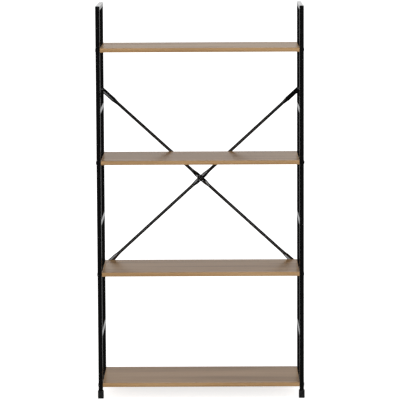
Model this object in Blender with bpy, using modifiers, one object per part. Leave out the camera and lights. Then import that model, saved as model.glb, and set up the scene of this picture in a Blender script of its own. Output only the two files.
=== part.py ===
"""Shelving unit: four boards between two square-tube side frames, with crossed brace rods behind.

Sizes are in metres and +Z is up. The front faces -Y, and left and right are as seen from the front.
The origin is on the floor, in the middle of the unit's box.
"""

import math

import bmesh
import bpy
from mathutils import Vector

# Overall sizes over the side frames
WIDTH = 0.760
DEPTH = 0.330
HEIGHT = 1.450

# Air between pieces that touch, and how far a cutter runs past what it cuts
GAP = 0.0003
OVERRUN = 0.002

# Square steel tube of the side frames
TUBE = 0.016
TUBE_WALL = 0.001
TUBE_CORNER = 0.002
CORNER_STEPS = 3

# Boards, from the floor up, the height of the lowest one's top face, and what stands over the highest
SHELVES = ("bottom", "lower", "upper", "top")
BOARD = 0.015
BOARD_EDGE_ROUND = 0.0008
EDGE_STEPS = 2
LOWEST_TOP = 0.058
TOP_STAND = 0.153

# Rungs of the side frames, each over the board of the same place, centre above the board's top face
RUNGS = ("lower", "middle", "upper")
RUNG_RISE = 0.179

# Joint of each side frame's lower and upper part, under one of the boards
JOINT_SHELF = "upper"
JOINT_DROP = 0.008
SPIGOT_REACH = 0.040
SPIGOT_WALL = 0.0012
SPIGOT_CORNER = 0.0015

# Feet, plastic cups pushed over the ends of the uprights
FOOT_HEIGHT = 0.030
FOOT_FLOOR = 0.005
FOOT_WALL = 0.0025
FOOT_SHOULDER = 0.0019
FOOT_EDGE_ROUND = 0.0008

# Screws through the uprights into the ends of the boards
SCREW_RADIUS = 0.003
SCREW_BITE = 0.030
SCREW_RELIEF = 0.002
HEAD_RADIUS = 0.0065
LOW_HEAD = 0.0010
JOINT_HEAD = 0.0022

# Bolts and nuts of the brace
BOLT_RADIUS = 0.003
BOLT_HEAD = 0.0024
BOLT_PAST_NUT = 0.0012
NUT_ACROSS_FLATS = 0.010
NUT_HEIGHT = 0.005

# Hexagon socket in each head, and the parts of a head's height and of a shank's radius that it leaves
SOCKET_ACROSS_FLATS = 0.004
SOCKET_DEPTH = 0.0020
RIM_SHARE = 0.4
TIP_SHARE = 0.8
DOME_STEPS = 3
ROUND_SIDES = 12

# Brace rods, round steel tube pressed flat at both ends and in the middle. Their end bolts lie this
# far under the lower of two boards and over the upper one's top face.
ROD = 0.012
ROD_WALL = 0.001
FLAT = 0.0024
BRACE_SHELVES = ("lower", "upper")
BRACE_DROP = 0.014
BRACE_RISE = 0.238
TAB = 0.060
TAB_PRESS = 0.030
CENTRE_FLAT = 0.022
CENTRE_PRESS = 0.028
PRESS_STEPS = 4
ROD_SIDES = 12

# Places that follow from the sizes above, from the middle of the side frames
SIDES = {"left": -1, "right": 1}
FACES = {"front": -1, "rear": 1}
UPRIGHT_X = (WIDTH - TUBE) / 2
UPRIGHT_Y = (DEPTH - TUBE) / 2
SHELF_PITCH = (HEIGHT - TOP_STAND - LOWEST_TOP) / (len(SHELVES) - 1)
SHELF_TOPS = {name: LOWEST_TOP + SHELF_PITCH * place for place, name in enumerate(SHELVES)}
JOINT_Z = SHELF_TOPS[JOINT_SHELF] - BOARD - JOINT_DROP
TUBE_START_Z = FOOT_FLOOR + GAP
FRONT_REACH = DEPTH / 2 + GAP + FOOT_WALL
CROSSING_FRONT = (ROD - GAP) / 2 - FLAT
CROSSING_BACK = (ROD + GAP) / 2 + FLAT
NUT_REACH = CROSSING_BACK + GAP + NUT_HEIGHT + BOLT_PAST_NUT
REAR_REACH = DEPTH / 2 + GAP + max(FOOT_WALL, ROD, NUT_REACH)
ROD_LOWER = SHELF_TOPS[BRACE_SHELVES[0]] - BOARD - BRACE_DROP
ROD_UPPER = SHELF_TOPS[BRACE_SHELVES[1]] + BRACE_RISE
ROD_SPAN = math.hypot(2 * UPRIGHT_X, ROD_UPPER - ROD_LOWER)
ROD_SLOPE = math.atan2(ROD_UPPER - ROD_LOWER, 2 * UPRIGHT_X)
ROD_CROSSING_Z = (ROD_UPPER + ROD_LOWER) / 2
ROD_FRONT_Y = DEPTH / 2 + GAP
TAB_WIDTH = FLAT + math.pi / 2 * (ROD - FLAT)
TIP_RADIUS = TAB_WIDTH / 2 + GAP

# Finishes: colour, roughness and metallic value
FINISHES = {
    "black_coat": ((0.010, 0.010, 0.011), 0.36, 0.0),
    "wood_laminate": ((0.30, 0.22, 0.14), 0.55, 0.0),
    "black_plastic": ((0.014, 0.014, 0.015), 0.50, 0.0),
    "black_steel": ((0.030, 0.030, 0.032), 0.30, 1.0),
}


def clear_scene():
    for obj in list(bpy.data.objects):
        bpy.data.objects.remove(obj)


def new_collection(name):
    collection = bpy.data.collections.new(name)
    bpy.context.scene.collection.children.link(collection)
    return collection


def new_finish(name):
    colour, roughness, metallic = FINISHES[name]
    material = bpy.data.materials.new(name)
    material.use_nodes = True
    shader = material.node_tree.nodes["Principled BSDF"]
    shader.inputs["Base Color"].default_value = (*colour, 1)
    shader.inputs["Roughness"].default_value = roughness
    shader.inputs["Metallic"].default_value = metallic
    material.diffuse_color = (*colour, 1)
    return material


def place(name, mesh, collection, location=(0, 0, 0), rotation=(0, 0, 0)):
    """A new object with this mesh, carried by the empty in the middle of the side frames."""
    obj = bpy.data.objects.new(name, mesh)
    obj.location = location
    obj.rotation_euler = rotation
    obj.parent = middle
    collection.objects.link(obj)
    return obj


def add_part(name, mesh, finish, location=(0, 0, 0), rotation=(0, 0, 0)):
    obj = place(name, mesh, unit, location, rotation)
    if not mesh.materials:
        mesh.materials.append(finishes[finish])
    mesh.shade_smooth()
    mesh.set_sharp_from_angle(angle=math.radians(40))
    return obj


def add_cutter(name, mesh, location=(0, 0, 0), rotation=(0, 0, 0)):
    obj = place(name, mesh, cutters, location, rotation)
    obj.hide_render = True
    obj.display_type = "WIRE"
    return obj


def cut(obj, cutter, operation="DIFFERENCE"):
    modifier = obj.modifiers.new(cutter.name, "BOOLEAN")
    modifier.object = cutter
    modifier.operation = operation
    modifier.solver = "EXACT"


def evaluated_mesh(obj):
    """The object's mesh with its modifiers applied and its loose caps welded. The object is removed."""
    bpy.context.view_layer.update()
    graph = bpy.context.evaluated_depsgraph_get()
    mesh = bpy.data.meshes.new_from_object(obj.evaluated_get(graph))
    mesh.name = obj.name
    bpy.data.objects.remove(obj)
    shape = bmesh.new()
    shape.from_mesh(mesh)
    bmesh.ops.remove_doubles(shape, verts=shape.verts, dist=GAP / 100)
    shape.to_mesh(mesh)
    shape.free()
    return mesh


def prism(name, points, thickness, fill="BOTH"):
    """An outline extruded to this thickness about its own plane, with caps, or without where the fill is none."""
    curve = bpy.data.curves.new(name, "CURVE")
    curve.dimensions = "2D"
    curve.fill_mode = fill
    curve.extrude = thickness / 2
    spline = curve.splines.new("POLY")
    spline.points.add(len(points) - 1)
    for point, (x, y) in zip(spline.points, points):
        point.co = (x, y, 0, 1)
    spline.use_cyclic_u = True
    maker = bpy.data.objects.new(name, curve)
    bpy.context.scene.collection.objects.link(maker)
    mesh = evaluated_mesh(maker)
    bpy.data.curves.remove(curve)
    return mesh


def rounded_square(side, corner):
    points = []
    for quarter in range(4):
        middle_angle = (quarter + 0.5) * math.pi / 2
        reach = (side / 2 - corner) * math.sqrt(2)
        for step in range(CORNER_STEPS + 1):
            angle = (quarter + step / CORNER_STEPS) * math.pi / 2
            x = reach * math.cos(middle_angle) + corner * math.cos(angle)
            y = reach * math.sin(middle_angle) + corner * math.sin(angle)
            points.append((x, y))
    return points


def square_tube(name, side, wall, corner, length, mitres=()):
    """A square tube along Z. Each mitre names an end and the Y side that keeps its length, as -1 or 1."""
    skin = bpy.data.objects.new(name, prism(name, rounded_square(side, corner), length, "NONE"))
    bpy.context.scene.collection.objects.link(skin)
    shell = skin.modifiers.new("wall", "SOLIDIFY")
    shell.thickness = wall
    shell.offset = -1
    shell.use_even_offset = True
    mesh = evaluated_mesh(skin)
    for end, long_side in mitres:
        for vertex in mesh.vertices:
            if vertex.co.z * end > 0:
                vertex.co.z -= end * (side / 2 - long_side * vertex.co.y)
    return mesh


def cylinder(name, radius, length):
    mesh = bpy.data.meshes.new(name)
    shape = bmesh.new()
    bmesh.ops.create_cone(
        shape, cap_ends=True, segments=ROUND_SIDES, radius1=radius, radius2=radius, depth=length
    )
    shape.to_mesh(mesh)
    shape.free()
    return mesh


def hole_cutter(name, radius, start, end):
    """A cylinder from one point to another."""
    along = end - start
    rotation = along.to_track_quat("Z", "Y").to_euler()
    return add_cutter(name, cylinder(name, radius, along.length), (start + end) / 2, rotation)


def upright_tube(name, location_xy, start, end, mitres=()):
    mesh = square_tube(name, TUBE, TUBE_WALL, TUBE_CORNER, end - start, mitres)
    return add_part(name, mesh, "black_coat", (*location_xy, (start + end) / 2))


def make_upright(side, face):
    """One upright: a lower tube from its foot to the joint, and an upper one mitred into the top rail."""
    sign_x, sign_y = SIDES[side], FACES[face]
    location = (sign_x * UPRIGHT_X, sign_y * UPRIGHT_Y)
    lower = upright_tube(f"upright_{side}_{face}_lower", location, TUBE_START_Z, JOINT_Z - GAP / 2)
    mitre_gap = GAP * math.sqrt(2)
    mitres = ((1, sign_y),)
    upper = upright_tube(
        f"upright_{side}_{face}_upper", location, JOINT_Z + GAP / 2, HEIGHT - mitre_gap, mitres
    )
    return lower, upper


def make_spigot(side, face):
    """A short square tube that fits inside both parts of an upright at their joint."""
    name = f"spigot_{side}_{face}"
    outer = TUBE - 2 * TUBE_WALL - 2 * GAP
    mesh = square_tube(name, outer, SPIGOT_WALL, SPIGOT_CORNER, 2 * SPIGOT_REACH)
    return add_part(
        name, mesh, "black_coat", (SIDES[side] * UPRIGHT_X, FACES[face] * UPRIGHT_Y, JOINT_Z)
    )


def make_rungs(side):
    """The tubes across the depth of a side frame: three rungs between the uprights, and the top rail."""
    along_y = (-math.pi / 2, 0, 0)
    for rung, shelf in zip(RUNGS, SHELVES):
        name = f"rung_{side}_{rung}"
        length = DEPTH - 2 * TUBE - 2 * GAP
        mesh = square_tube(name, TUBE, TUBE_WALL, TUBE_CORNER, length)
        height = SHELF_TOPS[shelf] + RUNG_RISE
        add_part(name, mesh, "black_coat", (SIDES[side] * UPRIGHT_X, 0, height), along_y)
    name = f"top_rail_{side}"
    # The turn onto Y puts the tube's own -Y side on top, which is the long side of both mitres.
    mesh = square_tube(name, TUBE, TUBE_WALL, TUBE_CORNER, DEPTH, ((-1, -1), (1, -1)))
    add_part(name, mesh, "black_coat", (SIDES[side] * UPRIGHT_X, 0, HEIGHT - TUBE / 2), along_y)


def bridge(shape, first, second):
    for side in range(len(first)):
        after = (side + 1) % len(first)
        shape.faces.new((first[side], first[after], second[after], second[side]))


def foot_mesh(name, outer, corner):
    """A solid block on the floor with a rounded lower rim and a sloping shoulder."""
    levels = []
    for step in range(EDGE_STEPS + 1):
        angle = step / EDGE_STEPS * math.pi / 2
        levels.append((FOOT_EDGE_ROUND * (1 - math.cos(angle)), FOOT_EDGE_ROUND * (1 - math.sin(angle))))
    levels.append((FOOT_HEIGHT - FOOT_SHOULDER, 0))
    levels.append((FOOT_HEIGHT, FOOT_SHOULDER))
    shape = bmesh.new()
    rings = []
    for height, inset in levels:
        outline = rounded_square(outer - 2 * inset, corner - inset)
        rings.append([shape.verts.new((x, y, height)) for x, y in outline])
    for lower, upper in zip(rings, rings[1:]):
        bridge(shape, lower, upper)
    shape.faces.new(rings[0][::-1])
    shape.faces.new(rings[-1])
    mesh = bpy.data.meshes.new(name)
    shape.to_mesh(mesh)
    shape.free()
    return mesh


def make_foot(side, face):
    """A square plastic cup, whose floor carries the end of the upright."""
    name = f"foot_{side}_{face}"
    pocket = TUBE + 2 * GAP
    outer = pocket + 2 * FOOT_WALL
    corner = TUBE_CORNER + GAP + FOOT_WALL
    location = Vector((SIDES[side] * UPRIGHT_X, FACES[face] * UPRIGHT_Y, 0))
    foot = add_part(name, foot_mesh(name, outer, corner), "black_plastic", location)
    depth = FOOT_HEIGHT - FOOT_FLOOR + OVERRUN
    pocket_mesh = prism(name + "_pocket", rounded_square(pocket, TUBE_CORNER + GAP), depth)
    above = Vector((0, 0, FOOT_FLOOR + depth / 2))
    cut(foot, add_cutter(name + "_pocket", pocket_mesh, location + above))


def make_shelf(shelf):
    """A board between the side frames, as deep as they are, with eased edges."""
    name = f"shelf_{shelf}"
    mesh = bpy.data.meshes.new(name)
    shape = bmesh.new()
    bmesh.ops.create_cube(shape, size=1)
    length = WIDTH - 2 * TUBE - 2 * GAP
    bmesh.ops.scale(shape, vec=(length, DEPTH, BOARD), verts=shape.verts)
    shape.to_mesh(mesh)
    shape.free()
    board = add_part(name, mesh, "wood_laminate", (0, 0, SHELF_TOPS[shelf] - BOARD / 2))
    bevel = board.modifiers.new("edges", "BEVEL")
    bevel.width = BOARD_EDGE_ROUND
    bevel.segments = EDGE_STEPS
    return board


def turned(name, profile):
    """A solid turned about Z from a profile that runs down from the axis to the axis."""
    mesh = bpy.data.meshes.new(name)
    points = [(radius, 0, height) for radius, height in profile]
    edges = [(i, i + 1) for i in range(len(points) - 1)]
    mesh.from_pydata(points, edges, [])
    obj = bpy.data.objects.new(name, mesh)
    bpy.context.scene.collection.objects.link(obj)
    screw = obj.modifiers.new("turn", "SCREW")
    screw.steps = ROUND_SIDES
    screw.render_steps = ROUND_SIDES
    screw.use_merge_vertices = True
    screw.merge_threshold = GAP / 100
    return obj


def socket_screw_mesh(name, radius, head, length):
    """A screw or bolt along Z: a low domed head with a hexagon socket, its seat at zero, and its shank below."""
    rim = head * RIM_SHARE
    profile = []
    for step in range(DOME_STEPS + 1):
        angle = step / DOME_STEPS * math.pi / 2
        profile.append((HEAD_RADIUS * math.sin(angle), rim + (head - rim) * math.cos(angle)))
    chamfer = radius * (1 - TIP_SHARE)
    profile.append((HEAD_RADIUS, 0))
    profile.append((radius, 0))
    profile.append((radius, chamfer - length))
    profile.append((radius * TIP_SHARE, -length))
    profile.append((0, -length))
    screw = turned(name, profile)
    socket = bpy.data.meshes.new(name + "_socket")
    shape = bmesh.new()
    corner = SOCKET_ACROSS_FLATS / math.sqrt(3)
    bmesh.ops.create_cone(
        shape, cap_ends=True, segments=6, radius1=corner, radius2=corner, depth=2 * SOCKET_DEPTH
    )
    shape.to_mesh(socket)
    shape.free()
    cutter = bpy.data.objects.new(name + "_socket", socket)
    cutter.location = (0, 0, head)
    bpy.context.scene.collection.objects.link(cutter)
    cut(screw, cutter)
    mesh = evaluated_mesh(screw)
    bpy.data.objects.remove(cutter)
    return mesh


def make_shelf_screws(uprights, spigots, boards):
    """A screw through each upright into each board end. One cutter a screw bores all that it passes."""
    bite_start = WIDTH / 2 - TUBE - GAP
    length = TUBE + 2 * GAP + SCREW_BITE
    meshes = {
        head: socket_screw_mesh(f"shelf_screw_{word}", SCREW_RADIUS, head, length)
        for word, head in (("low", LOW_HEAD), ("joint", JOINT_HEAD))
    }
    for shelf, board in boards.items():
        height = SHELF_TOPS[shelf] - BOARD / 2
        head = JOINT_HEAD if shelf == JOINT_SHELF else LOW_HEAD
        for (side, face), (lower, upper) in uprights.items():
            name = f"shelf_screw_{side}_{face}_{shelf}"
            sign = SIDES[side]
            y = FACES[face] * UPRIGHT_Y
            seat = Vector((sign * (WIDTH / 2 + GAP), y, height))
            inward = Vector((-sign, 0, 0))
            deepest = Vector((sign * (bite_start - SCREW_BITE - SCREW_RELIEF), y, height))
            bore = hole_cutter(name + "_hole", SCREW_RADIUS + GAP, seat - inward * OVERRUN, deepest)
            cut(lower if height < JOINT_Z else upper, bore)
            if abs(height - JOINT_Z) < SPIGOT_REACH:
                cut(spigots[side, face], bore)
            cut(board, bore)
            add_part(name, meshes[head], "black_steel", seat, (0, sign * math.pi / 2, 0))


def pressed_ring(height, share_of_wall):
    """Half the straight part and the end radius of the rod tube pressed to this height.

    The tube keeps its girth: a round one has no straight part, and a flat one is mostly that.
    """
    straight = math.pi / 2 * (ROD - height)
    return straight / 2, height / 2 - share_of_wall * ROD_WALL


def rod_stations(centre_front):
    """Places along one half of a rod, each with the pressed height there and its front side's offset."""
    stations = [(0, FLAT, centre_front), (CENTRE_FLAT, FLAT, centre_front)]
    for step in range(1, PRESS_STEPS + 1):
        share = math.sin(step / PRESS_STEPS * math.pi / 2)
        place_along = CENTRE_FLAT + CENTRE_PRESS * step / PRESS_STEPS
        stations.append((place_along, FLAT + (ROD - FLAT) * share, centre_front * (1 - share)))
    tab_start = ROD_SPAN / 2 - TAB
    for step in range(PRESS_STEPS, -1, -1):
        share = math.sin(step / PRESS_STEPS * math.pi / 2)
        stations.append((tab_start - TAB_PRESS * step / PRESS_STEPS, FLAT + (ROD - FLAT) * share, 0))
    stations.append((ROD_SPAN / 2 + TIP_RADIUS + OVERRUN, FLAT, 0))
    return stations


def add_ring(shape, along, height, front, share_of_wall):
    """One ring of the rod's skin, outside at no share of the wall and inside at a full share."""
    straight, radius = pressed_ring(height, share_of_wall)
    corner = radius / math.cos(math.pi / ROD_SIDES)
    ring = []
    for side in range(ROD_SIDES):
        angle = (side + 0.5) / ROD_SIDES * 2 * math.pi
        across = math.copysign(straight, math.cos(angle)) + corner * math.cos(angle)
        ring.append(shape.verts.new((along, across, front + height / 2 + corner * math.sin(angle))))
    return ring


def rod_mesh(name, centre_front):
    """A rod along X: a loft of the tube's outer and inner outlines, joined round both open ends."""
    half = rod_stations(centre_front)
    stations = [(-along, height, front) for along, height, front in reversed(half[1:])] + half
    shape = bmesh.new()
    outer = [add_ring(shape, *station, 0) for station in stations]
    inner = [add_ring(shape, *station, 1) for station in stations]
    for skin in (outer, inner):
        for first, second in zip(skin, skin[1:]):
            bridge(shape, first, second)
    bridge(shape, outer[0], inner[0])
    bridge(shape, outer[-1], inner[-1])
    bmesh.ops.recalc_face_normals(shape, faces=shape.faces)
    mesh = bpy.data.meshes.new(name)
    shape.to_mesh(mesh)
    shape.free()
    return mesh


def tip_outline():
    """The outline of a rod in plan, a slot shape with its ends round about the bolt holes."""
    points = []
    for end in (1, -1):
        for step in range(ROD_SIDES + 1):
            angle = (step / ROD_SIDES - 0.5) * math.pi
            x = end * (ROD_SPAN / 2 + TIP_RADIUS * math.cos(angle))
            points.append((x, end * TIP_RADIUS * math.sin(angle)))
    return points


def make_rods():
    """The two rods of the brace, level with each other. Their pressed middles lie one behind the other."""
    trim_mesh = prism("rod_trim", tip_outline(), 4 * ROD)
    rods = {}
    for name, slope, centre_front in (
        ("brace_rod_rising", ROD_SLOPE, CROSSING_FRONT),
        ("brace_rod_falling", -ROD_SLOPE, CROSSING_FRONT + FLAT + GAP),
    ):
        rotation = (-math.pi / 2, -slope, 0)
        location = (0, ROD_FRONT_Y, ROD_CROSSING_Z)
        rod = add_part(name, rod_mesh(name, centre_front), "black_coat", location, rotation)
        cut(rod, add_cutter(name + "_trim", trim_mesh, location, rotation), "INTERSECT")
        rods[name] = rod
    return rods["brace_rod_rising"], rods["brace_rod_falling"]


def nut_mesh(name):
    """A hexagon nut along Z with its seat at zero."""
    mesh = bpy.data.meshes.new(name)
    shape = bmesh.new()
    corner = NUT_ACROSS_FLATS / math.sqrt(3)
    bmesh.ops.create_cone(
        shape, cap_ends=True, segments=6, radius1=corner, radius2=corner, depth=NUT_HEIGHT
    )
    bmesh.ops.translate(shape, vec=(0, 0, NUT_HEIGHT / 2), verts=shape.verts)
    shape.to_mesh(mesh)
    shape.free()
    nut = bpy.data.objects.new(name, mesh)
    bore = bpy.data.objects.new(name + "_bore", cylinder(name, BOLT_RADIUS + GAP, 4 * NUT_HEIGHT))
    for obj in (nut, bore):
        bpy.context.scene.collection.objects.link(obj)
    cut(nut, bore)
    finished = evaluated_mesh(nut)
    bpy.data.objects.remove(bore)
    return finished


def make_brace_bolts(uprights, rising, falling):
    """A bolt and nut at each rod end, through the rear upright, and one pair where the rods cross."""
    nut = nut_mesh("brace_nut")
    face_back = (-math.pi / 2, 0, 0)
    face_front = (math.pi / 2, 0, 0)
    tab_back = ROD_FRONT_Y + FLAT
    end_seat = DEPTH / 2 - TUBE - GAP
    end_length = tab_back + GAP + NUT_HEIGHT + BOLT_PAST_NUT - end_seat
    end_bolt = socket_screw_mesh("brace_end_bolt", BOLT_RADIUS, BOLT_HEAD, end_length)
    crossing_back = ROD_FRONT_Y + CROSSING_BACK
    centre_seat = ROD_FRONT_Y + CROSSING_FRONT - GAP
    centre_length = crossing_back + GAP + NUT_HEIGHT + BOLT_PAST_NUT - centre_seat
    centre_bolt = socket_screw_mesh("brace_centre_bolt", BOLT_RADIUS, BOLT_HEAD, centre_length)

    places = []
    for side, sign in SIDES.items():
        lower, upper = uprights[side, "rear"]
        low_rod = rising if side == "left" else falling
        high_rod = falling if side == "left" else rising
        x = sign * UPRIGHT_X
        places.append((f"{side}_upper", x, ROD_UPPER, end_seat, tab_back, end_bolt, (upper, high_rod)))
        places.append((f"{side}_lower", x, ROD_LOWER, end_seat, tab_back, end_bolt, (lower, low_rod)))
    crossed = (rising, falling)
    places.append(("centre", 0, ROD_CROSSING_Z, centre_seat, crossing_back, centre_bolt, crossed))

    for word, x, height, seat, back, bolt, passed in places:
        start = Vector((x, seat - OVERRUN, height))
        end = Vector((x, back + OVERRUN, height))
        bore = hole_cutter(f"brace_hole_{word}", BOLT_RADIUS + GAP, start, end)
        for obj in passed:
            cut(obj, bore)
        add_part(f"brace_bolt_{word}", bolt, "black_steel", (x, seat, height), face_front)
        add_part(f"brace_nut_{word}", nut, "black_steel", (x, back + GAP, height), face_back)


clear_scene()
unit = new_collection("shelving_unit")
cutters = new_collection("cutters")
finishes = {name: new_finish(name) for name in FINISHES}

# The side frames' middle is set forward of the origin by half of what the rods add behind.
middle = bpy.data.objects.new("middle_of_frames", None)
middle.location = (0, (FRONT_REACH - REAR_REACH) / 2, 0)
unit.objects.link(middle)

corners = [(side, face) for side in SIDES for face in FACES]
all_uprights = {corner: make_upright(*corner) for corner in corners}
all_spigots = {corner: make_spigot(*corner) for corner in corners}
for corner in corners:
    make_foot(*corner)
for side_name in SIDES:
    make_rungs(side_name)
all_boards = {shelf: make_shelf(shelf) for shelf in SHELVES}
make_shelf_screws(all_uprights, all_spigots, all_boards)
make_brace_bolts(all_uprights, *make_rods())
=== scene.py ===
import math

import bmesh
import bpy
from mathutils import Matrix, Vector


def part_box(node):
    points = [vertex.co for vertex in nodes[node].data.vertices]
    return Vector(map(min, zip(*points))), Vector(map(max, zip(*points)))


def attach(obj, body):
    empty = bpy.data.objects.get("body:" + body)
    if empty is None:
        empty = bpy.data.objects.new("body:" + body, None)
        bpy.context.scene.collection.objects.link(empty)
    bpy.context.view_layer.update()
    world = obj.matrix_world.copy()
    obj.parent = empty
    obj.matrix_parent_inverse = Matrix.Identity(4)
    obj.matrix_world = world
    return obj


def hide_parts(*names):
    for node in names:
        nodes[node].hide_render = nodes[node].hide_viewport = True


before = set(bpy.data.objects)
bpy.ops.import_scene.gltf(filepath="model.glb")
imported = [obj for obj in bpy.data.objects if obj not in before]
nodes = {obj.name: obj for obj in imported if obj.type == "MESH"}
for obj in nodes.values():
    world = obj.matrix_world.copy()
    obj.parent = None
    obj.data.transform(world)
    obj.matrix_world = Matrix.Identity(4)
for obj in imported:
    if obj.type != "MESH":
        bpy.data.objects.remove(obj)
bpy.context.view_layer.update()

# Side frames: two ladders of 16 mm square steel tube, each in a lower and an upper part that meet on
# spigots under the upper board. The tubes are cut, mitred at the top, welded, and then powder
# coated, which leaves a glossy black skin with a faint orange peel.

COAT_BLACK = (0.0026, 0.0026, 0.0028)
COAT_CLOUDED = (0.0048, 0.0047, 0.0047)
COAT_ROUGHNESS = 0.09
COAT_IOR = 1.58
PEEL_HEIGHT = 0.00001
FRAME_PEEL = 0.0011
DUST = (0.20, 0.19, 0.18)
DUST_COVER = 0.10
DUST_DULLNESS = 0.20


class Signal:
    """A value that varies over a surface. Numbers may stand on either side of its operators."""

    def __init__(self, finish, socket):
        self.finish = finish
        self.socket = socket

    def maths(self, operation, first, second):
        return self.finish.node("Math", {"operation": operation}, {0: first, 1: second})

    def __add__(self, other):
        return self.maths("ADD", self, other)

    def __sub__(self, other):
        return self.maths("SUBTRACT", self, other)

    def __rsub__(self, other):
        return self.maths("SUBTRACT", other, self)

    def __mul__(self, other):
        return self.maths("MULTIPLY", self, other)

    def __abs__(self):
        return self.maths("ABSOLUTE", self, 0)

    __radd__ = __add__
    __rmul__ = __mul__


class Finish:
    """A finish as it is mixed, on a material or on the room's world."""

    MIX_SHARE, MIX_FIRST, MIX_SECOND, MIX_COLOUR = 0, 6, 7, 2

    def __init__(self, owner):
        self.owner = owner
        owner.use_nodes = True
        self.tree = owner.node_tree
        self.tree.nodes.clear()

    def node(self, kind, settings, sockets, output=0):
        """A node whose settings are made first and whose sockets are then set or linked."""
        node = self.tree.nodes.new("ShaderNode" + kind)
        for name, value in settings.items():
            if name == "stops":
                self.set_stops(node.color_ramp, value)
            else:
                setattr(node, name, value)
        for name, value in sockets.items():
            if isinstance(value, Signal):
                self.tree.links.new(value.socket, node.inputs[name])
            else:
                node.inputs[name].default_value = value
        return Signal(self, node.outputs[output]) if node.outputs else None

    def set_stops(self, ramp, stops):
        ramp.elements.remove(ramp.elements[1])
        ramp.elements[0].position = stops[0][0]
        ramp.elements[0].color = (*stops[0][1], 1)
        for position, colour in stops[1:]:
            ramp.elements.new(position).color = (*colour, 1)

    def place(self):
        """Metres on the unit, for CAD nodes and new pieces alike, because each stands at the origin."""
        return self.node("TexCoord", {}, {}, "Object")

    def part(self, vector, axis):
        return self.node("SeparateXYZ", {}, {0: vector}, axis)

    def tilt(self):
        """1 on level faces that look up, 0 on walls and -1 on undersides."""
        return self.part(self.node("TexCoord", {}, {}, "Normal"), "Z")

    def stretched(self, place, scale):
        return self.node("VectorMath", {"operation": "MULTIPLY"}, {0: place, 1: scale})

    def noise(self, place, scale=1.0, detail=2.0, roughness=0.5):
        """From 0 to 1. The scale is in grains to a metre, unless the place is stretched already."""
        sockets = {"Vector": place, "Scale": scale, "Detail": detail, "Roughness": roughness}
        return self.node("TexNoise", {}, sockets, "Fac")

    def ranged(self, value, zero_at, one_at):
        """A smooth step from 0 at the one value to 1 at the other."""
        sockets = {"Value": value, "From Min": zero_at, "From Max": one_at}
        return self.node("MapRange", {"interpolation_type": "SMOOTHSTEP"}, sockets)

    def mixed(self, share, first, second):
        """The first colour where the share is 0, the second where it is 1."""
        first = first if isinstance(first, Signal) else (*first, 1)
        second = second if isinstance(second, Signal) else (*second, 1)
        sockets = {self.MIX_SHARE: share, self.MIX_FIRST: first, self.MIX_SECOND: second}
        return self.node("Mix", {"data_type": "RGBA"}, sockets, self.MIX_COLOUR)

    def bump(self, height, distance, strength):
        sockets = {"Height": height, "Distance": distance, "Strength": strength}
        return self.node("Bump", {}, sockets)

    def coat(self, sockets):
        self.node("OutputMaterial", {}, {"Surface": self.node("BsdfPrincipled", {}, sockets)})
        return self.owner


def powder_coat(name, peel):
    """Black powder coat whose orange peel has bumps of this size. Level faces hold a trace of dust."""
    finish = Finish(bpy.data.materials.new(name))
    place = finish.place()
    peeled = finish.noise(place, scale=1 / peel, detail=3.0, roughness=0.45)
    grains = finish.noise(place, scale=3000.0, detail=1.0)
    clouds = finish.noise(place, scale=18.0, detail=3.0, roughness=0.6)
    specks = finish.noise(place, scale=110.0, detail=4.0, roughness=0.65)
    level = finish.ranged(finish.tilt(), zero_at=0.4, one_at=0.95)
    dust = level * finish.ranged(specks, zero_at=0.45, one_at=0.80)
    black = finish.mixed(clouds, COAT_BLACK, COAT_CLOUDED)
    return finish.coat({
        "Base Color": finish.mixed(DUST_COVER * dust, black, DUST),
        "Roughness": COAT_ROUGHNESS + 0.04 * clouds + DUST_DULLNESS * dust,
        "IOR": COAT_IOR,
        "Normal": finish.bump(peeled + 0.2 * grains, distance=PEEL_HEIGHT, strength=0.3),
    })


def dress(prefixes, material):
    for name, node in nodes.items():
        if name.startswith(prefixes):
            node.data.materials.clear()
            node.data.materials.append(material)


frame_coat = powder_coat("frame_coat", FRAME_PEEL)
dress(("upright_", "top_rail_", "rung_", "spigot_"), frame_coat)

# Welds: a fillet bead over and under each rung end, laid before coating, and a dressed seam round
# each mitre of the top rails. The beads keep the ripples of the torch's steps under the coat.

WELD_PEEL = 0.0008
BEAD_LEG = 0.0026
BEAD_ROOT = BEAD_LEG / 4
BEAD_MARGIN = 0.0024
BEAD_START = 0.25
BEAD_BLUNTNESS = 6
BEAD_HOLLOW = 0.22
BEAD_RIPPLE = 0.00016
BEAD_STEP = 0.0011
BEAD_RINGS = 40
BEAD_SIDES = 7
SEAM_PROFILE = ((-0.0004, 0.0), (-0.0002, 0.00008), (0.0002, 0.00008), (0.0004, 0.0))
TUBE_CORNER = 0.002
CORNER_TURNS = 6
GENTLE = math.radians(35)

weld_coat = powder_coat("weld_coat", WELD_PEEL)


def new_piece(name, shape, material):
    """An object at the origin from this bmesh, smooth where its faces meet gently."""
    mesh = bpy.data.meshes.new(name)
    bmesh.ops.recalc_face_normals(shape, faces=shape.faces)
    shape.to_mesh(mesh)
    shape.free()
    mesh.materials.append(material)
    mesh.shade_smooth()
    mesh.set_sharp_from_angle(angle=GENTLE)
    piece = bpy.data.objects.new(name, mesh)
    bpy.context.scene.collection.objects.link(piece)
    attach(piece, "root")
    return piece


def band(shape, first, second):
    """Faces between two rings that have as many points."""
    for place in range(len(first)):
        after = (place + 1) % len(first)
        shape.faces.new((first[place], first[after], second[after], second[place]))


def skin(shape, rings):
    """Faces from ring to ring, and one over either end."""
    for first, second in zip(rings, rings[1:]):
        band(shape, first, second)
    shape.faces.new(rings[0][::-1])
    shape.faces.new(rings[-1])


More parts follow.
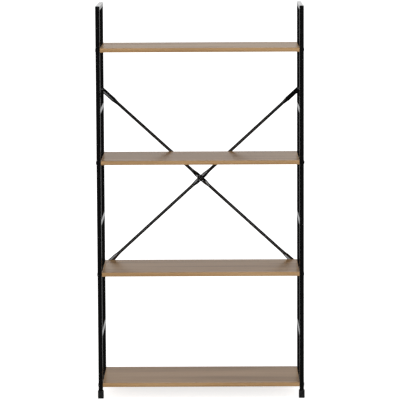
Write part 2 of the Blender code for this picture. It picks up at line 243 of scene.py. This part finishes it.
def add_bead(shape, middle, width, away, upward):
    """A fillet bead along X in the corner of an upright's wall and a rung's level face."""
    rings = []
    for ring in range(BEAD_RINGS + 1):
        share = ring / BEAD_RINGS
        x = (share - 0.5) * width
        swell = math.sqrt(max(1 - (2 * share - 1) ** BEAD_BLUNTNESS, 0.0))
        ripple = BEAD_RIPPLE * math.sin(x / BEAD_STEP * 2 * math.pi)
        leg = BEAD_LEG * (BEAD_START + (1 - BEAD_START) * swell) + ripple
        points = [Vector((x, -BEAD_ROOT * away, -BEAD_ROOT * upward))]
        for side in range(BEAD_SIDES):
            angle = side / (BEAD_SIDES - 1) * math.pi / 2
            bulge = 1 - BEAD_HOLLOW * math.sin(2 * angle)
            y = leg * math.cos(angle) * bulge
            z = leg * math.sin(angle) * bulge
            points.append(Vector((x, y * away, z * upward)))
        rings.append([shape.verts.new(middle + point) for point in points])
    skin(shape, rings)


def tube_ring(shape, centre, half, corner, along, across):
    """A rounded square about a centre, its sides along two vectors, which may be of unlike length."""
    ring = []
    for quarter in range(4):
        for turn in range(CORNER_TURNS + 1):
            angle = (quarter + turn / CORNER_TURNS) * math.pi / 2
            sign_a = 1 if quarter in (0, 3) else -1
            sign_b = 1 if quarter in (0, 1) else -1
            first = sign_a * (half - corner) + corner * math.cos(angle)
            second = sign_b * (half - corner) + corner * math.sin(angle)
            ring.append(shape.verts.new(centre + first * along + second * across))
    return ring


for side in ("left", "right"):
    for rung in ("lower", "middle", "upper"):
        low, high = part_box(f"rung_{side}_{rung}")
        shape = bmesh.new()
        for y, away in ((low.y, 1), (high.y, -1)):
            for z, upward in ((high.z, 1), (low.z, -1)):
                middle = Vector(((low.x + high.x) / 2, y, z))
                add_bead(shape, middle, high.x - low.x - BEAD_MARGIN, away, upward)
        new_piece(f"welds_{side}_{rung}_rung", shape, weld_coat)

    low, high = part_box(f"top_rail_{side}")
    half = (high.z - low.z) / 2
    shape = bmesh.new()
    for y, away in ((low.y, 1), (high.y, -1)):
        rings = []
        for shift, proud in SEAM_PROFILE:
            centre = Vector(((low.x + high.x) / 2, y + away * half, high.z - half))
            centre += Vector((0, away * shift, shift)) / math.sqrt(2)
            slant = Vector((0, away, -1))
            rings.append(tube_ring(shape, centre, half + proud, TUBE_CORNER, Vector((1, 0, 0)), slant))
        skin(shape, rings)
    for vertex in shape.verts:
        vertex.co.z = min(vertex.co.z, high.z)
    new_piece(f"mitre_seams_{side}", shape, weld_coat)

# Boards: 15 mm particle board with a printed oak laminate on both faces and the same print on the
# edge band. The faces are pressed on before the board is cut, and the band is glued on and trimmed,
# which leaves a fine line along each arris.

BAND_TRIM = 0.0007
OAK_PRINT = (
    (0.30, (0.530, 0.333, 0.166)),
    (0.45, (0.478, 0.292, 0.139)),
    (0.55, (0.432, 0.259, 0.119)),
    (0.72, (0.318, 0.180, 0.080)),
)
OAK_PORE = (0.170, 0.098, 0.045)
OAK_BAND = (0.290, 0.168, 0.064)
TRIM_LINE = (0.110, 0.066, 0.034)
LAMINATE_IOR = 1.5
LAMINATE_RELIEF = 0.00004

# The print's marks to a metre along the board, across it and through it.
FIBRES = (5.0, 190.0, 190.0)
FIGURE = (1.3, 26.0, 26.0)
DRIFT = (1.6, 5.0, 5.0)
PORES = (60.0, 1300.0, 1300.0)
BAND_STREAKS = (7.0, 0.0, 520.0)


def board_laminate(shelf):
    """Printed oak with its grain along X. Each board shows another stretch of the print."""
    low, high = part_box("shelf_" + shelf)
    half = (high.z - low.z) / 2
    finish = Finish(bpy.data.materials.new("oak_laminate_" + shelf))
    place = finish.place()
    fibres = finish.noise(finish.stretched(place, FIBRES), detail=3.0, roughness=0.6)
    figure = finish.noise(finish.stretched(place, FIGURE), detail=3.0, roughness=0.55)
    drift = finish.noise(finish.stretched(place, DRIFT))
    dark = 0.40 * fibres + 0.85 * figure + 0.45 * drift - 0.35
    pitted = finish.noise(finish.stretched(place, PORES), detail=1.0)
    pores = finish.ranged(pitted, zero_at=0.62, one_at=0.72)
    printed = finish.node("ValToRGB", {"stops": OAK_PRINT}, {"Fac": dark})
    pored = finish.mixed(0.30 * pores, printed, OAK_PORE)

    height = finish.part(place, "Z") - (low.z + half)
    upright = 1 - finish.ranged(abs(finish.tilt()), zero_at=0.35, one_at=0.75)
    streaked = finish.noise(finish.stretched(place, BAND_STREAKS), detail=2.0, roughness=0.6)
    streaks = finish.ranged(streaked, zero_at=0.40, one_at=0.66)
    low_down = finish.ranged(height, zero_at=0.2 * half, one_at=-0.5 * half)
    banded = finish.mixed(upright * (0.30 * low_down + 0.12 * streaks), pored, OAK_BAND)
    arris = finish.ranged(abs(height), zero_at=half - BAND_TRIM, one_at=half - 0.4 * BAND_TRIM)
    return finish.coat({
        "Base Color": finish.mixed(0.15 * arris * upright, banded, TRIM_LINE),
        "Roughness": 0.27 + 0.08 * dark,
        "IOR": LAMINATE_IOR,
        "Normal": finish.bump(dark - 0.4 * pores, distance=LAMINATE_RELIEF, strength=0.5),
    })


for shelf in ("bottom", "lower", "upper", "top"):
    dress("shelf_" + shelf, board_laminate(shelf))

# Feet: black plastic cups pushed over the tube ends so that the steel doesn't mark the floor. The
# mould's spark finish leaves a fine even grain and a dull shine, and the lower rims get scuffed.

PLASTIC_BLACK = (0.0060, 0.0062, 0.0068)
PLASTIC_SCUFFED = (0.060, 0.060, 0.060)
PLASTIC_IOR = 1.48
SPARK_DEPTH = 0.00008
SCUFFED_UP_TO = 0.006
SCUFFED_MOST = 0.001

plastic = Finish(bpy.data.materials.new("foot_plastic"))
place = plastic.place()
grain = plastic.noise(place, scale=2200.0)
rubbed = plastic.noise(place, scale=240.0, detail=4.0, roughness=0.7)
near_floor = plastic.ranged(plastic.part(place, "Z"), zero_at=SCUFFED_UP_TO, one_at=SCUFFED_MOST)
scuffs = plastic.ranged(rubbed, zero_at=0.55, one_at=0.75) * near_floor
foot_plastic = plastic.coat({
    "Base Color": plastic.mixed(0.30 * scuffs, PLASTIC_BLACK, PLASTIC_SCUFFED),
    "Roughness": 0.30 + 0.10 * grain + 0.20 * scuffs,
    "IOR": PLASTIC_IOR,
    "Normal": plastic.bump(grain, distance=SPARK_DEPTH, strength=0.6),
})
dress("foot_", foot_plastic)

# Shelf screws: low button heads on the outer faces of the uprights, cold-headed with a hexagon
# socket and blackened. Those at the frame joint are higher, because they also clamp the spigots.

ZINC_DARK = (0.030, 0.031, 0.034)
ZINC_LIGHT = (0.062, 0.062, 0.064)
ZINC_GRAIN = 0.00002
LOW_HEAD = 0.0010
JOINT_HEAD = 0.0022
HEAD_RIM = 0.4
HEAD_EASE = 0.0001
HEAD_STEPS = 8
HEAD_TURNS = 36
SOCKET_REACH = 0.0020
SOCKET_EASE = 0.00035
SOCKET_DEPTH = 0.002
SOCKET_PAST_SEAT = 0.0004
SOCKET_CONE = 0.0003
SOCKET_CONE_TIP = 0.55
SHANK = 0.003
SHANK_EASE = 0.0005
THREAD = 0.001
THREAD_DEPTH = 0.00035
SCREW_THREADED = 0.024

zinc = Finish(bpy.data.materials.new("black_zinc"))
place = zinc.place()
film = zinc.noise(place, scale=450.0, detail=3.0, roughness=0.6)
black_zinc = zinc.coat({
    "Base Color": zinc.mixed(film, ZINC_DARK, ZINC_LIGHT),
    "Metallic": 1.0,
    "Roughness": 0.26 + 0.14 * film,
    "Normal": zinc.bump(zinc.noise(place, scale=3600.0), distance=ZINC_GRAIN, strength=0.4),
})


def hexagon_reach(angle, half_flats):
    """How far a hexagon's outline lies from its middle at this angle."""
    return half_flats / math.cos((angle % (math.pi / 3)) - math.pi / 6)


def round_ring(shape, radius, height, turns=HEAD_TURNS):
    """A ring about Z. The radius is a number, or a function of the angle, and so is the height."""
    ring = []
    for turn in range(turns):
        angle = turn / turns * 2 * math.pi
        reach = radius(angle) if callable(radius) else radius
        z = height(angle) if callable(height) else height
        ring.append(shape.verts.new((reach * math.cos(angle), reach * math.sin(angle), z)))
    return ring


def socket_screw(head_radius, head, length, threaded):
    """A screw along Z, its seat at zero: the socket, the domed head, the shank and a threaded end."""

    def socket_wall(angle):
        return hexagon_reach(angle, SOCKET_REACH)

    def cone_tip(angle):
        return SOCKET_CONE_TIP * socket_wall(angle)

    shape = bmesh.new()
    socket_floor = head - min(SOCKET_DEPTH, head + SOCKET_PAST_SEAT)
    land = SOCKET_REACH / math.cos(math.pi / 6) + 2 * SOCKET_EASE
    rings = [
        round_ring(shape, cone_tip, socket_floor - SOCKET_CONE),
        round_ring(shape, socket_wall, socket_floor),
        round_ring(shape, socket_wall, head - SOCKET_EASE),
        round_ring(shape, land, head),
    ]
    rim = HEAD_RIM * head
    for step in range(1, HEAD_STEPS + 1):
        angle = step / HEAD_STEPS * math.pi / 2
        radius = land + (head_radius - land) * math.sin(angle)
        rings.append(round_ring(shape, radius, rim + (head - rim) * math.cos(angle)))
    rings.append(round_ring(shape, head_radius, HEAD_EASE))
    rings.append(round_ring(shape, head_radius - HEAD_EASE, 0))
    rings.append(round_ring(shape, SHANK, 0))
    place_down = threaded - length
    while place_down > THREAD - length:
        rings.append(round_ring(shape, SHANK, place_down))
        rings.append(round_ring(shape, SHANK - THREAD_DEPTH, place_down - THREAD / 2))
        place_down -= THREAD
    rings.append(round_ring(shape, SHANK, SHANK_EASE - length))
    rings.append(round_ring(shape, SHANK - SHANK_EASE, -length))
    skin(shape, rings)
    return shape


def turned_onto(shape, direction, seat):
    """Turns a piece made along Z onto a direction and moves it to its seat."""
    turn = Vector(direction).to_track_quat("Z", "Y").to_matrix().to_4x4()
    bmesh.ops.transform(shape, matrix=Matrix.Translation(seat) @ turn, verts=shape.verts)


for name in sorted(nodes):
    if name.startswith("shelf_screw_"):
        low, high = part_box(name)
        outward = -1 if low.x < 0 else 1
        head = JOINT_HEAD if name.endswith("_upper") else LOW_HEAD
        tip, top = (high.x, low.x) if outward < 0 else (low.x, high.x)
        seat = Vector((top - outward * head, (low.y + high.y) / 2, (low.z + high.z) / 2))
        shape = socket_screw((high.z - low.z) / 2, head, abs(seat.x - tip), SCREW_THREADED)
        turned_onto(shape, (outward, 0, 0), seat)
        screw = new_piece(name.replace("shelf_screw", "button_screw"), shape, black_zinc)
        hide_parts(name)

# Brace: two 12 mm round tubes with 1 mm walls, pressed at both ends and where they cross, and coated
# like the frames. The press leaves the flats dished, and the rods lie back to back, so the front
# rod's flats bulge towards the front and the rear rod's are hollow there.

ROD = 0.012
ROD_PEEL = 0.0009
ROD_GAP = 0.0003
ROD_SIDES = 72
FLAT = 0.0024
DISH = 0.0013
DISH_MIDDLE_ROUND = 0.12
DISH_SHOULDER = 0.78
DISH_SHOULDER_ROUND = 0.08
DISH_CLEAR = 0.007
DISH_GROWTH = 0.005
DISH_STEPS = 10
TAB = 0.060
TAB_PRESS = 0.030
CENTRE_FLAT = 0.022
CENTRE_PRESS = 0.028
SET_FLAT = 0.034
SET_RUN = 0.014
PRESS_STEPS = 28
TIP_STEPS = 10

rod_coat = powder_coat("rod_coat", ROD_PEEL)


def eased(share):
    """From 0 to 1 without a corner at either end."""
    share = min(max(share, 0.0), 1.0)
    return share * share * (3 - 2 * share)


def dish_rise(across):
    """How far a dish has risen at this share of the half width: level in its middle and at its rim."""
    one_shoulder = math.hypot(across - DISH_SHOULDER, DISH_SHOULDER_ROUND)
    other_shoulder = math.hypot(across + DISH_SHOULDER, DISH_SHOULDER_ROUND)
    return math.hypot(across, DISH_MIDDLE_ROUND) - (one_shoulder + other_shoulder) / 2


def rod_half(span, tip, centre_front, hollow, end_dish):
    """Places along half a rod: its height, its front's offset, and the shares of its width and dish."""
    bulge = 0.0 if hollow else DISH
    half = []
    for step in range(DISH_STEPS + 1):
        share = eased(step / DISH_STEPS)
        along = DISH_CLEAR + DISH_GROWTH * step / DISH_STEPS
        half.append((along, FLAT, centre_front - bulge * share, 1.0, share))
    for step in range(PRESS_STEPS + 1):
        share = math.sin(step / PRESS_STEPS * math.pi / 2)
        along = CENTRE_FLAT + CENTRE_PRESS * step / PRESS_STEPS
        settled = share if hollow else eased((along - SET_FLAT) / SET_RUN)
        front = (centre_front - bulge) * (1 - settled)
        half.append((along, FLAT + (ROD - FLAT) * share, front, 1.0, 1 - share ** 2))
    for step in range(PRESS_STEPS, -1, -1):
        share = math.sin(step / PRESS_STEPS * math.pi / 2)
        along = span / 2 - TAB - TAB_PRESS * step / PRESS_STEPS
        half.append((along, FLAT + (ROD - FLAT) * share, 0.0, 1.0, end_dish * (1 - share ** 2)))
    for step in range(DISH_STEPS, -1, -1):
        along = span / 2 - DISH_CLEAR - DISH_GROWTH * step / DISH_STEPS
        half.append((along, FLAT, 0.0, 1.0, end_dish * eased(step / DISH_STEPS)))
    for step in range(TIP_STEPS):
        angle = step / TIP_STEPS * math.pi / 2
        half.append((span / 2 + tip * math.sin(angle), FLAT, 0.0, math.cos(angle), 0.0))
    return half


def rod_ring(shape, along, height, front, width_share, dish_share, hollow):
    """A ring of the pressed tube: it keeps its girth, so it widens as it is flattened."""
    half = height / 2
    reach = (half + math.pi / 4 * (ROD - height)) * width_share
    cap = min(half, reach)
    straight = reach - cap
    ring = []
    for side in range(ROD_SIDES):
        quarter, rest = divmod(4 * (side + 0.5) / ROD_SIDES, 1)
        run = (1 - rest if quarter in (1, 3) else rest) * (straight + math.pi / 2 * half)
        angle = max(run - straight, 0.0) / half
        across = min(run, straight) + cap * math.sin(angle)
        depth = half * (1 - math.cos(angle))
        depth = height - depth if quarter in (1, 2) else depth
        bow = (dish_rise(across / reach) - dish_rise(0)) / (dish_rise(1) - dish_rise(0))
        bow = 1 - bow if hollow else bow
        across = -across if quarter in (2, 3) else across
        ring.append(shape.verts.new((along, front + depth + DISH * dish_share * bow, across)))
    return ring


rod_low, rod_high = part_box("brace_rod_rising")
bolt_places = {}
for word in ("left_upper", "left_lower", "right_upper", "right_lower", "centre"):
    low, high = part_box("brace_bolt_" + word)
    x, z = (low.x + high.x) / 2, (low.z + high.z) / 2
    bolt_places[word] = {"x": x, "front": low.y, "back": high.y, "z": z}
rod_rise = bolt_places["right_upper"]["z"] - bolt_places["left_lower"]["z"]
rod_run = bolt_places["right_upper"]["x"] - bolt_places["left_lower"]["x"]
rod_slope = math.atan2(rod_rise, rod_run)
span = math.hypot(rod_run, rod_rise)
tip_reach = rod_high.x - bolt_places["right_upper"]["x"]
front_set = (ROD - ROD_GAP) / 2 - FLAT
for name, slope, centre_front, hollow, right_dish in (
    ("rising", rod_slope, front_set, False, 0.0),
    ("falling", -rod_slope, front_set + FLAT + ROD_GAP, True, 1.0),
):
    left_half = rod_half(span, tip_reach, centre_front, hollow, 1.0)
    stations = [(-along, *rest) for along, *rest in reversed(left_half)]
    stations += rod_half(span, tip_reach, centre_front, hollow, right_dish)
    shape = bmesh.new()
    skin(shape, [rod_ring(shape, *station, hollow) for station in stations])
    centre = Vector((0, rod_low.y, bolt_places["centre"]["z"]))
    turn = Matrix.Rotation(-slope, 4, "Y")
    bmesh.ops.transform(shape, matrix=Matrix.Translation(centre) @ turn, verts=shape.verts)
    rod = new_piece("pressed_rod_" + name, shape, rod_coat)
    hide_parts("brace_rod_" + name)

# Brace bolts: button-head bolts through the rear uprights and the rods' ends, and one through both
# rods where they cross. Each has a chamfered hexagon nut behind, from which the thread's end stands.

BOLT_HEAD = 0.0024
BOLT_THREADED = 0.012
NUT_FLATS = 0.005
NUT_FACE = 0.96 * NUT_FLATS
NUT_CHAMFER = math.radians(30)
NUT_TURNS = 72
BORE = SHANK + 0.0001
BORE_MOUTH = SHANK + 0.0005
BORE_EASE = 0.0004


def hexagon_nut(height):
    """A nut along Z from zero up, its corners chamfered on both faces and its bore eased."""

    def outline(angle):
        return hexagon_reach(angle, NUT_FLATS)

    def lower_chamfer(angle):
        return (outline(angle) - NUT_FACE) * math.tan(NUT_CHAMFER)

    def upper_chamfer(angle):
        return height - lower_chamfer(angle)

    shape = bmesh.new()
    profile = (
        (BORE, BORE_EASE),
        (BORE_MOUTH, 0),
        (NUT_FACE, 0),
        (outline, lower_chamfer),
        (outline, upper_chamfer),
        (NUT_FACE, height),
        (BORE_MOUTH, height),
        (BORE, height - BORE_EASE),
    )
    rings = [round_ring(shape, radius, level, NUT_TURNS) for radius, level in profile]
    for first, second in zip(rings, rings[1:]):
        band(shape, first, second)
    band(shape, rings[-1], rings[0])
    return shape


for word, place in bolt_places.items():
    low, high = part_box("brace_bolt_" + word)
    length = place["back"] - place["front"] - BOLT_HEAD
    shape = socket_screw((high.x - low.x) / 2, BOLT_HEAD, length, BOLT_THREADED)
    turned_onto(shape, (0, -1, 0), Vector((place["x"], place["front"] + BOLT_HEAD, place["z"])))
    bolt = new_piece("button_bolt_" + word, shape, black_zinc)
    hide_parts("brace_bolt_" + word)
    nut_low, nut_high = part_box("brace_nut_" + word)
    shape = hexagon_nut(nut_high.y - nut_low.y)
    turned_onto(shape, (0, 1, 0), Vector((place["x"], nut_low.y, place["z"])))
    nut = new_piece("hexagon_nut_" + word, shape, black_zinc)
    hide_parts("brace_nut_" + word)

# Studio floor: a white sweep. It shows white to the camera and keeps the unit's soft shadow. In
# gloss it is pale grey behind the unit and dark towards the camera, where the studio has no light.

FLOOR_REACH = 40.0
FLOOR_FACES = 8
SWEEP_PAINT = (0.80, 0.80, 0.80, 1.0)
LIFT_NEAR = (0.76, 0.76, 0.76)
LIFT_FAR = (0.94, 0.94, 0.94)
GLOSS_NEAR = (0.02, 0.02, 0.02)
GLOSS_FAR = (0.55, 0.55, 0.55)

floor_shape = bmesh.new()
bmesh.ops.create_grid(floor_shape, x_segments=FLOOR_FACES, y_segments=FLOOR_FACES, size=FLOOR_REACH)
floor_mesh = bpy.data.meshes.new("studio_floor")
floor_shape.to_mesh(floor_mesh)
floor_shape.free()
floor = bpy.data.objects.new("studio_floor", floor_mesh)
bpy.context.scene.collection.objects.link(floor)

sweep = Finish(bpy.data.materials.new("studio_sweep"))
depth = sweep.part(sweep.place(), "Y")
seen = sweep.node("LightPath", {}, {}, "Is Camera Ray")
mirrored = sweep.node("LightPath", {}, {}, "Is Glossy Ray")
paint = sweep.node("BsdfDiffuse", {}, {"Color": SWEEP_PAINT})
lift_colour = sweep.mixed(sweep.ranged(depth, zero_at=0.5, one_at=5.0), LIFT_NEAR, LIFT_FAR)
lift = sweep.node("Emission", {}, {"Color": sweep.mixed(seen, (0.0, 0.0, 0.0), lift_colour)})
lifted = sweep.node("AddShader", {}, {0: paint, 1: lift})
gloss_colour = sweep.mixed(sweep.ranged(depth, zero_at=-0.2, one_at=0.9), GLOSS_NEAR, GLOSS_FAR)
glossed = sweep.node("Emission", {}, {"Color": gloss_colour})
lit = sweep.node("MixShader", {}, {0: mirrored, 1: lifted, 2: glossed})
sweep.node("OutputMaterial", {}, {"Surface": lit})
floor_mesh.materials.append(sweep.owner)

# Studio room: white for the camera and an even soft fill for matt surfaces. In gloss it shows the
# white backdrop low behind the unit, a low soft bank at either side of the camera, and else
# nearly black.

ROOM_WHITE = (1.0, 1.0, 1.0, 1.0)
FILL = 0.57
GLOSS_DARK = 0.05
GLOSS_BANK = 4.8

room = Finish(bpy.data.worlds.new("studio_room"))
bpy.context.scene.world = room.owner
direction = room.node("TexCoord", {}, {}, "Generated")
sideways = abs(room.part(direction, "X"))
towards = room.part(direction, "Y")
height = room.part(direction, "Z")
seen = room.node("LightPath", {}, {}, "Is Camera Ray")
mirrored = room.node("LightPath", {}, {}, "Is Glossy Ray")
behind = room.ranged(towards, zero_at=0.0, one_at=0.40)
backdrop = behind * room.ranged(height, zero_at=0.36, one_at=0.04)
in_front = room.ranged(towards, zero_at=-0.20, one_at=-0.40)
bank_width = in_front * room.ranged(sideways, zero_at=0.14, one_at=0.24)
bank_foot = room.ranged(height, zero_at=-0.02, one_at=0.06)
bank_height = bank_foot * room.ranged(height, zero_at=0.26, one_at=0.12)
gloss = GLOSS_DARK + backdrop + GLOSS_BANK * bank_width * bank_height
level = seen + (1 - seen) * (mirrored * gloss + (1 - mirrored) * FILL)
glow = room.node("Background", {}, {"Color": ROOM_WHITE, "Strength": level})
room.node("OutputWorld", {}, {"Surface": glow})

# Lamps: two soft boxes in front of the unit, at either side of the camera, and a weaker one overhead.
# They light the surfaces only, because the room above already shows in gloss.

UNIT_MIDDLE = Vector((0, 0, 0.75))


def soft_box(name, place, width, height, power):
    """A rectangular lamp that faces the middle of the unit."""
    lamp = bpy.data.lights.new(name, "AREA")
    lamp.shape = "RECTANGLE"
    lamp.size = width
    lamp.size_y = height
    lamp.energy = power
    box = bpy.data.objects.new(name, lamp)
    box.location = place
    box.rotation_euler = (UNIT_MIDDLE - Vector(place)).to_track_quat("-Z", "Y").to_euler()
    box.visible_glossy = False
    bpy.context.scene.collection.objects.link(box)


soft_box("soft_bank_left", (-2.3, -7.0, 2.1), width=2.1, height=1.8, power=100.0)
soft_box("soft_bank_right", (2.3, -7.0, 2.1), width=2.1, height=1.8, power=100.0)
soft_box("soft_box_over", (0.0, -0.2, 4.0), width=2.4, height=1.8, power=12.0)

# Camera: a long lens ten metres away, half a metre over the frames' tops and tipped down. Its place
# and turn are those at which the unit's corners meet the photograph's.

YAW = math.radians(-0.334)
PITCH = math.radians(7.04)
ROLL = math.radians(0.278)
ASIDE = 0.0563
BACK = 10.0417
RAISED = 1.9589
FOCUS_PIXELS = 2713.3
PICTURE_PIXELS = 400.0
SENSOR = 36.0
SEEN_TO = 200.0

lens = bpy.data.cameras.new("camera")
lens.sensor_width = SENSOR
lens.lens = SENSOR * FOCUS_PIXELS / PICTURE_PIXELS
lens.clip_end = SEEN_TO
camera = bpy.data.objects.new("camera", lens)
bpy.context.scene.collection.objects.link(camera)
bpy.context.scene.camera = camera
frames_middle = sum(corner.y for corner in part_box("shelf_top")) / 2
right = Vector((math.cos(YAW), -math.sin(YAW), 0.0))
ahead = Vector((math.sin(YAW) * math.cos(PITCH), math.cos(YAW) * math.cos(PITCH), -math.sin(PITCH)))
down = ahead.cross(right)
picture_right = right * math.cos(ROLL) + down * math.sin(ROLL)
picture_down = down * math.cos(ROLL) - right * math.sin(ROLL)
turn = Matrix((picture_right, -picture_down, -ahead)).transposed().to_4x4()
camera.matrix_world = Matrix.Translation((ASIDE, frames_middle - BACK, RAISED)) @ turn

bpy.context.scene.view_settings.view_transform = "Standard"
